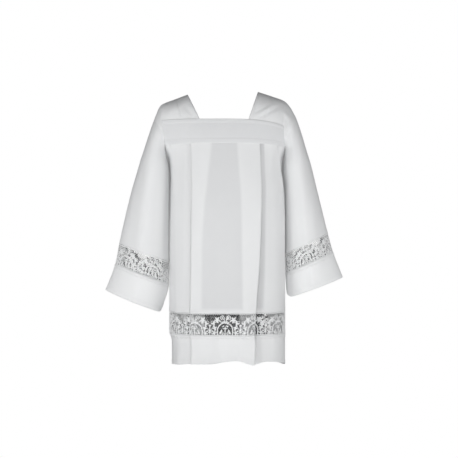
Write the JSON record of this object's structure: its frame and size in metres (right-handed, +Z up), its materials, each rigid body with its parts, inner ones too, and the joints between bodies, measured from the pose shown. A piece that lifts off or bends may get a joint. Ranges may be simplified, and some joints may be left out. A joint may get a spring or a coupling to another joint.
{
  "type": "surplice",
  "caption": "White square-necked surplice with a box-pleated body, wide hanging sleeves and lace let in above the hem and cuffs.",
  "frame": {"origin": "midway between the shoulders, at the height at which the garment bears on them", "axes": "+Z up, -Y towards the front of the garment, +X towards the right-hand side seen from the front"},
  "size_m": [0.8664, 0.3137, 0.9918],
  "materials": {
    "front_yoke": "plain woven cloth, matt",
    "back_yoke": "plain woven cloth, matt",
    "front_panel": "plain woven cloth, matt",
    "back_panel": "plain woven cloth, matt",
    "front_lace": "openwork lace",
    "back_lace": "openwork lace",
    "front_hem": "plain woven cloth, matt",
    "back_hem": "plain woven cloth, matt",
    "sleeve_left": "plain woven cloth, matt",
    "sleeve_right": "plain woven cloth, matt",
    "sleeve_lace_left_front": "openwork lace",
    "sleeve_lace_left_back": "openwork lace",
    "sleeve_lace_right_front": "openwork lace",
    "sleeve_lace_right_back": "openwork lace",
    "cuff_left": "plain woven cloth, matt",
    "cuff_right": "plain woven cloth, matt"
  },
  "bodies": {
    "root": {"front_yoke": "front_yoke", "back_yoke": "back_yoke", "front_panel": "front_panel", "back_panel": "back_panel", "front_lace": "front_lace", "back_lace": "back_lace", "front_hem": "front_hem", "back_hem": "back_hem", "sleeve_left": "sleeve_left", "sleeve_right": "sleeve_right", "sleeve_lace_left_front": "sleeve_lace_left_front", "sleeve_lace_left_back": "sleeve_lace_left_back", "sleeve_lace_right_front": "sleeve_lace_right_front", "sleeve_lace_right_back": "sleeve_lace_right_back", "cuff_left": "cuff_left", "cuff_right": "cuff_right"}
  },
  "joints": []
}
